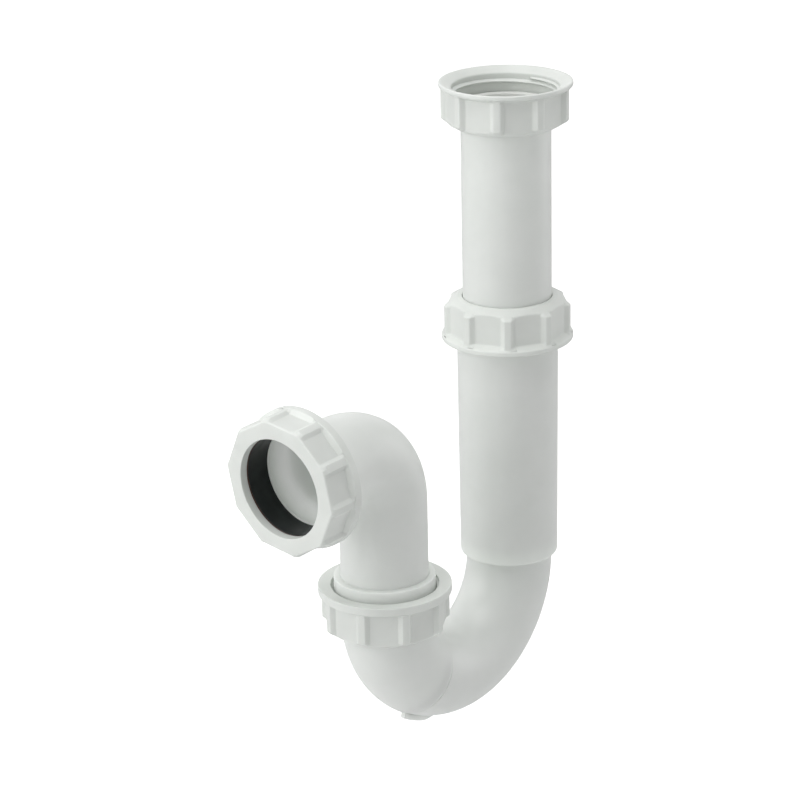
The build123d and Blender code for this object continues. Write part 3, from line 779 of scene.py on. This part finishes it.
# Off centre so that the slip ring's edge, brown as a painted warm reflection, shows only at the
# lower left of the seal.
WASHER_OFF_CENTRE = (-0.05 * MM, 0.15 * MM, 0)
WASHER_EDGE = 0.2 * MM
across_outlet = Matrix((Y_AXIS, outlet_way.cross(Y_AXIS), outlet_way)).transposed().to_4x4()
across_outlet.translation = elbow_meeting
seal_foot = SOCKET_SEAT + SEAL_FOOT_GAP
seal_face = WASHER_FACE - WASHER_THICKNESS
seal_outline = [
    (SEAL_BORE_RADIUS, seal_foot),
    (SOCKET_SEAT_RADIUS - SEAL_GAP, seal_foot),
    (SOCKET_MOUTH_RADIUS - SEAL_GAP, SOCKET_MOUTH),
    (SOCKET_MOUTH_RADIUS - SEAL_GAP, seal_face),
    (SEAL_BORE_RADIUS, seal_face),
]
shape = turned(seal_outline)
bmesh.ops.transform(shape, matrix=across_outlet, verts=shape.verts)
pipe_seal = moulding("pipe_seal", shape, SEAL_EDGE, black_rubber)
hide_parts("outlet_seal")
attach(pipe_seal, "elbow")
washer_outline = [
    (WASHER_BORE_RADIUS, seal_face),
    (WASHER_RADIUS, seal_face),
    (WASHER_RADIUS, WASHER_FACE),
    (WASHER_BORE_RADIUS, WASHER_FACE),
]
shape = turned(washer_outline)
washer_place = across_outlet @ Matrix.Translation(WASHER_OFF_CENTRE)
bmesh.ops.transform(shape, matrix=washer_place, verts=shape.verts)
pipe_washer = moulding("pipe_washer", shape, WASHER_EDGE, slip_ring)
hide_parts("outlet_washer")
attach(pipe_washer, "elbow")

# Outlet nut: a larger nut of the same plastic, with ten ribs, a flat face round the pipe's hole
# and a flange behind. It screws on the elbow's socket and squeezes the seal on the pipe.
OUTLET_NUT_RIBS = 10
OUTLET_NUT_TURN = math.radians(29)
OUTLET_NUT_FLANGE_RADIUS = 31.3 * MM
OUTLET_NUT_RIB_RADIUS = 30.9 * MM
OUTLET_NUT_WALL_RADIUS = 28.8 * MM
OUTLET_NUT_FACE = 64.85 * MM
OUTLET_NUT_MOUTH = 47.6 * MM
OUTLET_NUT_MOUTH_DEPTH = 1.0 * MM
OUTLET_NUT_FLANGE = 3.6 * MM
OUTLET_NUT_FLOOR = 3.95 * MM
OUTLET_NUT_RIB_DROP = 2.0 * MM
OUTLET_NUT_CHAMFER = 0.5 * MM
OUTLET_NUT_EDGE = 0.8 * MM
OUTLET_THREAD_ROOT_RADIUS = 26.2 * MM
PIPE_HOLE_RADIUS = 22.1 * MM
height = OUTLET_NUT_FACE - OUTLET_NUT_MOUTH
inner_face = height - OUTLET_NUT_FLOOR
rib_end = height - OUTLET_NUT_RIB_DROP
wall_end = height - OUTLET_NUT_CHAMFER
face_radius = OUTLET_NUT_WALL_RADIUS - OUTLET_NUT_CHAMFER
flange_width = OUTLET_NUT_FLANGE_RADIUS - OUTLET_NUT_WALL_RADIUS
slope = (OUTLET_NUT_FLANGE_RADIUS - OUTLET_NUT_RIB_RADIUS) / flange_width
outlet_nut_outline = [
    (PIPE_HOLE_RADIUS, height),
    (PIPE_HOLE_RADIUS, inner_face),
    (OUTLET_THREAD_ROOT_RADIUS, inner_face),
    (OUTLET_THREAD_ROOT_RADIUS, OUTLET_NUT_MOUTH_DEPTH),
    (OUTLET_NUT_FLANGE_RADIUS - NUT_RIM_WIDTH, 0),
    (OUTLET_NUT_FLANGE_RADIUS, 0),
    (OUTLET_NUT_FLANGE_RADIUS, OUTLET_NUT_FLANGE),
    (OUTLET_NUT_RIB_RADIUS, OUTLET_NUT_FLANGE + slope * FLANGE_SLOPE),
    (OUTLET_NUT_WALL_RADIUS, OUTLET_NUT_FLANGE + FLANGE_SLOPE),
    (OUTLET_NUT_WALL_RADIUS, rib_end),
    (OUTLET_NUT_WALL_RADIUS, wall_end),
    (face_radius, height),
]
shape = ribbed(
    outlet_nut_outline,
    OUTLET_NUT_RIBS,
    OUTLET_NUT_WALL_RADIUS,
    OUTLET_NUT_RIB_RADIUS,
    rib_end,
    wall_end,
    face_radius,
)
mouth_place = across_outlet @ Matrix.Translation((0, 0, OUTLET_NUT_MOUTH))
outlet_nut_place = mouth_place @ Matrix.Rotation(OUTLET_NUT_TURN, 4, "Z")
bmesh.ops.transform(shape, matrix=outlet_nut_place, verts=shape.verts)
pipe_nut = moulding("pipe_nut", shape, OUTLET_NUT_EDGE, nut_plastic)
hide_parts("outlet_nut")
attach(pipe_nut, "outlet_nut")

# Room: a plain pale floor well below the trap, that glows a little for the camera alone so that
# it goes over into the white surround.
FLOOR_HEIGHT = -0.42
FLOOR_HALF_SIZE = 6.0
FLOOR_TONE = 0.86
FLOOR_ROUGHNESS = 0.8
FLOOR_SHINE = 0.1
FLOOR_GLOW = 0.75
SURROUND_LIGHT = 0.45
SURROUND_SEEN = 1.0
floor_place = Matrix.Translation((0, 0, FLOOR_HEIGHT))
floor_mesh = bpy.data.meshes.new("floor")
shape = bmesh.new()
bmesh.ops.create_grid(shape, x_segments=1, y_segments=1, size=FLOOR_HALF_SIZE, matrix=floor_place)
shape.to_mesh(floor_mesh)
shape.free()
floor = bpy.data.objects.new("floor", floor_mesh)
bpy.context.scene.collection.objects.link(floor)
paint = bpy.data.materials.new("floor_paint")
paint.use_nodes = True
nodes, links = paint.node_tree.nodes, paint.node_tree.links
shader = nodes["Principled BSDF"]
shader.inputs["Base Color"].default_value = (FLOOR_TONE, FLOOR_TONE, FLOOR_TONE, 1)
shader.inputs["Roughness"].default_value = FLOOR_ROUGHNESS
shader.inputs["Specular IOR Level"].default_value = FLOOR_SHINE
glow = nodes.new("ShaderNodeEmission")
glow.inputs["Color"].default_value = (1, 1, 1, 1)
rays = nodes.new("ShaderNodeLightPath")
lift = nodes.new("ShaderNodeMath")
lift.operation = "MULTIPLY"
lift.inputs[1].default_value = FLOOR_GLOW
links.new(rays.outputs["Is Camera Ray"], lift.inputs[0])
links.new(lift.outputs["Value"], glow.inputs["Strength"])
both = nodes.new("ShaderNodeAddShader")
links.new(shader.outputs["BSDF"], both.inputs[0])
links.new(glow.outputs["Emission"], both.inputs[1])
links.new(both.outputs["Shader"], nodes["Material Output"].inputs["Surface"])
floor.data.materials.append(paint)
world = bpy.data.worlds.new("white surround")
world.use_nodes = True
bpy.context.scene.world = world
nodes, links = world.node_tree.nodes, world.node_tree.links
background = nodes["Background"]
background.inputs["Color"].default_value = (1, 1, 1, 1)
rays = nodes.new("ShaderNodeLightPath")
seen = nodes.new("ShaderNodeMath")
seen.operation = "MAXIMUM"
links.new(rays.outputs["Is Camera Ray"], seen.inputs[0])
links.new(rays.outputs["Is Glossy Ray"], seen.inputs[1])
strength = nodes.new("ShaderNodeMapRange")
strength.inputs["To Min"].default_value = SURROUND_LIGHT
strength.inputs["To Max"].default_value = SURROUND_SEEN
links.new(seen.outputs["Value"], strength.inputs["Value"])
links.new(strength.outputs["Result"], background.inputs["Strength"])

# Lamps: four soft boxes as in a studio, at the left, above, at the right behind and in front.
# Each is (name, metres to the right, towards the camera and up, size in metres, watts), and all
# are aimed at the middle of the trap.
CAMERA_AZIMUTH = math.radians(-48.35)
LAMPS = (
    ("left_softbox", -1.1, 0.25, 0.5, 0.8, 4.9),
    ("top_softbox", -0.1, 0.2, 1.2, 0.9, 6.0),
    ("right_fill", 1.1, -0.4, 0.0, 0.9, 2.3),
    ("front_softbox", -0.8, 0.8, 0.3, 0.5, 1.7),
)
middle = (cad_low + cad_high) / 2
right = Vector((math.cos(CAMERA_AZIMUTH), math.sin(CAMERA_AZIMUTH), 0))
towards_camera = Vector((math.sin(CAMERA_AZIMUTH), -math.cos(CAMERA_AZIMUTH), 0))
for name, side, front, high, size, watts in LAMPS:
    lamp_data = bpy.data.lights.new(name, "AREA")
    lamp_data.size = size
    lamp_data.energy = watts
    lamp = bpy.data.objects.new(name, lamp_data)
    lamp.location = middle + right * side + towards_camera * front + UP * high
    lamp.rotation_mode = "QUATERNION"
    lamp.rotation_quaternion = (middle - lamp.location).to_track_quat("-Z", "Y")
    bpy.context.scene.collection.objects.link(lamp)

# Camera: the photo's own view, from the front left and a little above. Its place, lens and slight
# roll come from a fit of the part's real sizes to the outlines in the photo.
CAMERA_ELEVATION = math.radians(20.097)
CAMERA_DISTANCE = 1271.8 * MM
CAMERA_FOCAL_PIXELS = 2904.7
CAMERA_SIDE = -49.033 * MM
CAMERA_RISE = -128.681 * MM
CAMERA_ROLL = math.radians(-1.218)
PHOTO_PIXELS = 800
SENSOR_MM = 36.0
back = towards_camera * math.cos(CAMERA_ELEVATION) + UP * math.sin(CAMERA_ELEVATION)
screen_up = back.cross(right)
rolled_right = right * math.cos(CAMERA_ROLL) + screen_up * math.sin(CAMERA_ROLL)
rolled_up = screen_up * math.cos(CAMERA_ROLL) - right * math.sin(CAMERA_ROLL)
camera_data = bpy.data.cameras.new("camera")
camera_data.sensor_width = SENSOR_MM
camera_data.lens = CAMERA_FOCAL_PIXELS * SENSOR_MM / PHOTO_PIXELS
camera = bpy.data.objects.new("camera", camera_data)
camera_place = Matrix((rolled_right, rolled_up, back)).transposed().to_4x4()
camera_place.translation = right * CAMERA_SIDE + screen_up * CAMERA_RISE + back * CAMERA_DISTANCE
camera.matrix_world = camera_place
bpy.context.scene.collection.objects.link(camera)
bpy.context.scene.camera = camera
bpy.context.scene.view_settings.view_transform = "Standard"
